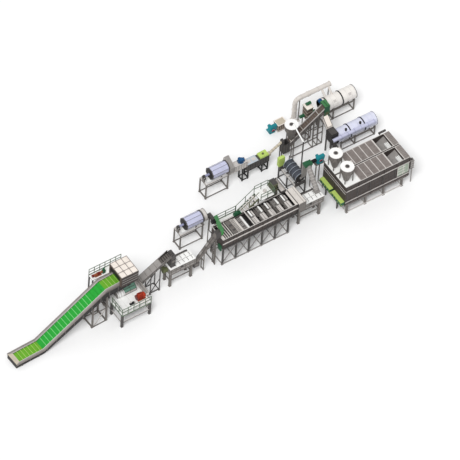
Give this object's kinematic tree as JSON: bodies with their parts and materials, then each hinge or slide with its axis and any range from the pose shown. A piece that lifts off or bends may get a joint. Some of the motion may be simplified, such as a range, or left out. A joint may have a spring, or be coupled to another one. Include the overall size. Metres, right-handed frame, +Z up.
{
  "type": "half-size scale model of a plastic washing line",
  "caption": "Scale model of a plastic washing line: cleated infeed conveyor, hooded crusher, wash and settling tanks, drums, press, driers.",
  "frame": {"origin": "centre of the line's footprint, on the floor", "axes": "+X along the line from the infeed towards the driers and settling tanks, +Y to its rear side, +Z up"},
  "size_m": [23.5877, 6.88, 3.15],
  "materials": {
    "belt_guard": "worn paint",
    "blower_one": "worn paint",
    "blower_two": "worn paint",
    "cooler_drum": "worn paint",
    "cooler_inlet": "worn paint",
    "cooler_stand": "worn paint",
    "cross_trough": "worn paint",
    "crusher_body": "worn paint",
    "crusher_drive": "worn paint",
    "crusher_hood": "worn paint",
    "cyclone_one": "worn paint",
    "cyclone_three": "worn paint",
    "cyclone_two": "worn paint",
    "drier_drum": "worn paint",
    "drier_stand": "worn paint",
    "drum_outlets": "worn paint",
    "drum_stand_one": "worn paint",
    "drum_stand_two": "worn paint",
    "dust_pipe": "worn paint",
    "elevator": "worn paint",
    "float_tank_one": "worn paint",
    "float_tank_two": "worn paint",
    "front_platform": "worn paint",
    "front_railing": "worn paint",
    "heater_box": "worn paint",
    "hot_air_pipe": "worn paint",
    "infeed_belt": "plain",
    "infeed_conveyor": "worn paint",
    "infeed_stand": "worn paint",
    "lift_conveyor": "worn paint",
    "lift_screw": "worn paint",
    "lift_stand": "worn paint",
    "narrow_screw": "worn paint",
    "paddle_wheels": "worn paint",
    "press_channel": "worn paint",
    "press_frame": "worn paint",
    "rear_platform": "worn paint",
    "rinse_drum": "plain",
    "rinse_frame": "worn paint",
    "screw_press": "worn paint",
    "settle_deck_plates": "worn paint",
    "settle_frame": "worn paint",
    "settle_guards": "worn paint",
    "settle_tanks": "worn paint",
    "silo_box": "worn paint",
    "stair_landing": "worn paint",
    "steep_conveyor": "worn paint",
    "steep_head": "worn paint",
    "steep_stand": "worn paint",
    "tank_cover": "worn paint",
    "tank_deck": "worn paint",
    "tank_frame": "worn paint",
    "transfer_trough": "worn paint",
    "tube_screw": "worn paint",
    "walkway": "worn paint",
    "wash_drum_one": "worn paint",
    "wash_drum_two": "worn paint",
    "wash_tank": "worn paint",
    "water_pump": "worn paint"
  },
  "bodies": {
    "root": {"belt_guard": "belt_guard", "blower_one": "blower_one", "blower_two": "blower_two", "cooler_drum": "cooler_drum", "cooler_inlet": "cooler_inlet", "cooler_stand": "cooler_stand", "cross_trough": "cross_trough", "crusher_body": "crusher_body", "crusher_drive": "crusher_drive", "crusher_hood": "crusher_hood", "cyclone_one": "cyclone_one", "cyclone_three": "cyclone_three", "cyclone_two": "cyclone_two", "drier_drum": "drier_drum", "drier_stand": "drier_stand", "drum_outlets": "drum_outlets", "drum_stand_one": "drum_stand_one", "drum_stand_two": "drum_stand_two", "dust_pipe": "dust_pipe", "elevator": "elevator", "float_tank_one": "float_tank_one", "float_tank_two": "float_tank_two", "front_platform": "front_platform", "front_railing": "front_railing", "heater_box": "heater_box", "hot_air_pipe": "hot_air_pipe", "infeed_belt": "infeed_belt", "infeed_conveyor": "infeed_conveyor", "infeed_stand": "infeed_stand", "lift_conveyor": "lift_conveyor", "lift_screw": "lift_screw", "lift_stand": "lift_stand", "narrow_screw": "narrow_screw", "paddle_wheels": "paddle_wheels", "press_channel": "press_channel", "press_frame": "press_frame", "rear_platform": "rear_platform", "rinse_drum": "rinse_drum", "rinse_frame": "rinse_frame", "screw_press": "screw_press", "settle_deck_plates": "settle_deck_plates", "settle_frame": "settle_frame", "settle_guards": "settle_guards", "settle_tanks": "settle_tanks", "silo_box": "silo_box", "stair_landing": "stair_landing", "steep_conveyor": "steep_conveyor", "steep_head": "steep_head", "steep_stand": "steep_stand", "tank_cover": "tank_cover", "tank_deck": "tank_deck", "tank_frame": "tank_frame", "transfer_trough": "transfer_trough", "tube_screw": "tube_screw", "walkway": "walkway", "wash_drum_one": "wash_drum_one", "wash_drum_two": "wash_drum_two", "wash_tank": "wash_tank", "water_pump": "water_pump"}
  },
  "joints": []
}
